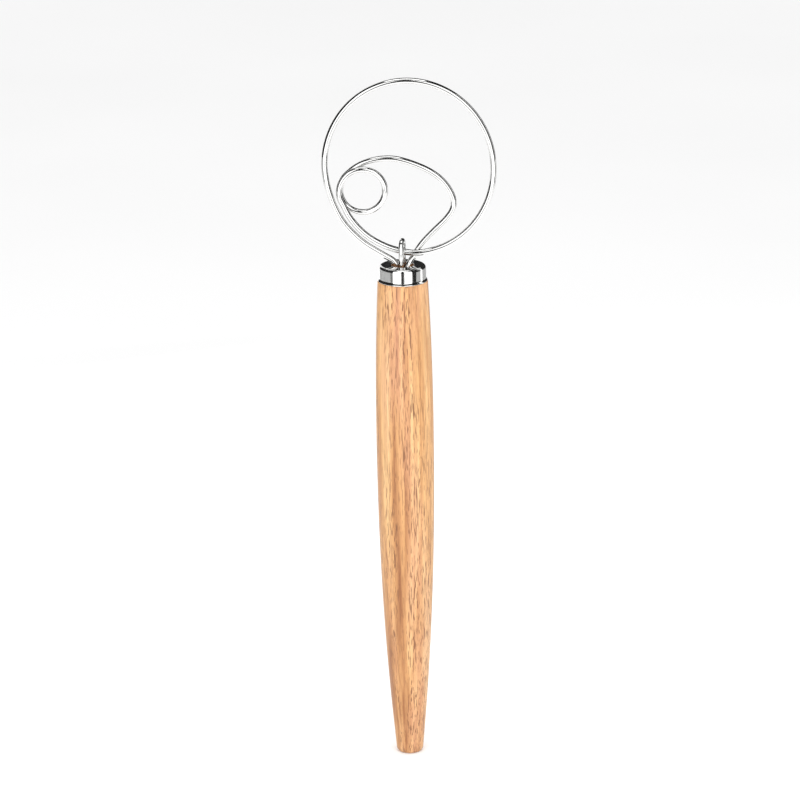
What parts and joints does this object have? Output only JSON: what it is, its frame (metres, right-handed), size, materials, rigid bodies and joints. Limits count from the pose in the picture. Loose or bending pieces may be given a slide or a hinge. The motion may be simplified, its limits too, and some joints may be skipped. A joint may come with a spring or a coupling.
{
  "type": "dough whisk",
  "caption": "Dough whisk: a steel wire ring with an inner coil and teardrop loop on a turned wooden handle, held by a steel cap and a small wire staple.",
  "frame": {"origin": "middle of the handle's butt, on the handle's axis", "axes": "+Z along the handle from the butt to the ring, +X to the right seen from the front with the ring up, +Y away from that viewer, square to the ring"},
  "size_m": [0.0852, 0.0284, 0.3492],
  "materials": {
    "handle_wood": "oiled light wood with fine straight grain",
    "polished_cap": "polished stainless steel sheet",
    "polished_wire": "polished stainless steel wire",
    "staple_wire": "polished stainless steel wire",
    "glue": "cured adhesive"
  },
  "bodies": {
    "root": {"handle": "handle_wood", "ferrule": "polished_cap", "whisk_wire": "polished_wire", "eye_staple": "staple_wire", "adhesive_plug": "glue"}
  },
  "joints": []
}
